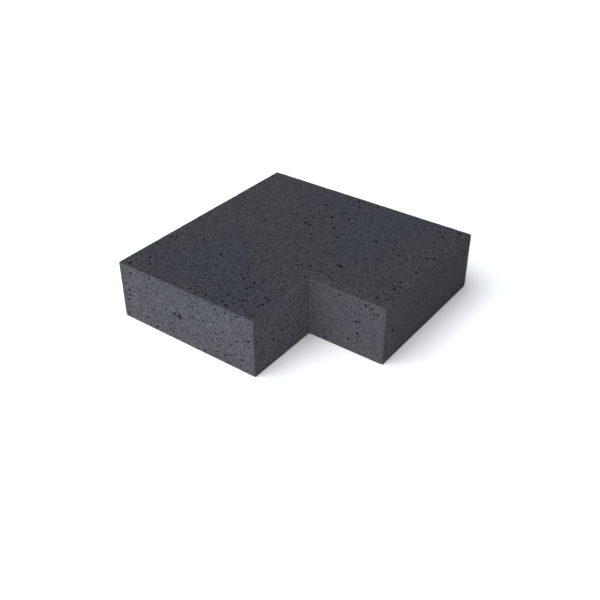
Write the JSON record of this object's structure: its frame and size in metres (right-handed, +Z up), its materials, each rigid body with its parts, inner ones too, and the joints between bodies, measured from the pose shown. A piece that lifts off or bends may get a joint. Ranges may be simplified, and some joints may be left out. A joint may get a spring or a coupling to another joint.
{
  "type": "concrete step corner piece",
  "caption": "Square cast concrete block with a square notch at one corner, which turns a flight of block steps through a right angle.",
  "frame": {"origin": "middle of the outer square, on the bed face that the block rests on", "axes": "+Z up out of the tread; the notch opens towards +X and -Y, so the outer corner is at -X and +Y; each arm's end face looks along +X or -Y"},
  "size_m": [0.6, 0.6, 0.15],
  "materials": {
    "anthracite_concrete": "matte cast concrete, dark grey right through, with open air holes"
  },
  "bodies": {
    "root": {"step_corner_block": "anthracite_concrete"}
  },
  "joints": []
}
